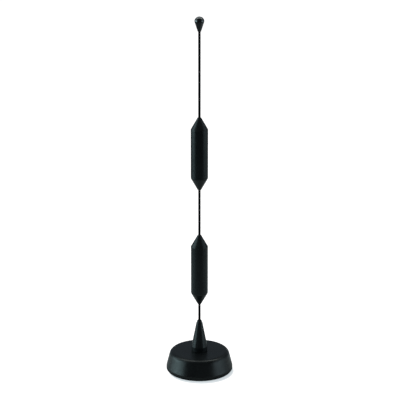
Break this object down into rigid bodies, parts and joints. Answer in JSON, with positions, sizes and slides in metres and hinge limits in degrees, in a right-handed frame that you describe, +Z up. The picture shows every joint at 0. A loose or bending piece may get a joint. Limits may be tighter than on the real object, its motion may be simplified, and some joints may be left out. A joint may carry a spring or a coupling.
{
  "type": "collinear mobile antenna",
  "caption": "Whip antenna on a round magnetic foot: a cone carries a thin rod with tapered phasing-coil housings in line and a drop-shaped tip.",
  "frame": {"origin": "on the floor, under the middle of the round foot", "axes": "+Z up along the whip, +Y to the back, where the feed cable goes in"},
  "size_m": [0.09, 0.09, 0.4841],
  "materials": {
    "cover_black": "satin",
    "soft_rubber": "matte",
    "ferrite": "matte",
    "zinc_steel": "satin",
    "turned_brass": "satin",
    "tinned_brass": "satin",
    "copper_strip": "satin",
    "former_nylon": "satin",
    "cone_black": "satin",
    "whip_black": "satin",
    "coil_black": "satin",
    "tip_black": "gloss"
  },
  "bodies": {
    "root": {"base_cover": "cover_black", "base_pad": "soft_rubber", "cable_grommet": "soft_rubber", "cone_gasket": "soft_rubber", "magnet_ring": "ferrite", "pole_plate": "zinc_steel", "plate_screws": "zinc_steel", "lock_washer": "zinc_steel", "earth_screw": "zinc_steel", "grub_screw": "zinc_steel", "feed_stud": "turned_brass", "stud_nut": "turned_brass", "cone_insert": "turned_brass", "lower_coil_bottom_ferrule": "turned_brass", "lower_coil_top_ferrule": "turned_brass", "upper_coil_bottom_ferrule": "turned_brass", "upper_coil_top_ferrule": "turned_brass", "solder_tag": "tinned_brass", "earth_tag": "tinned_brass", "lower_coil_winding": "copper_strip", "upper_coil_winding": "copper_strip", "lower_coil_former": "former_nylon", "upper_coil_former": "former_nylon", "whip_cone": "cone_black", "lower_rod": "whip_black", "middle_rod": "whip_black", "upper_rod": "whip_black", "lower_coil_housing": "coil_black", "lower_coil_cap": "coil_black", "upper_coil_housing": "coil_black", "upper_coil_cap": "coil_black", "whip_tip": "tip_black"}
  },
  "joints": []
}
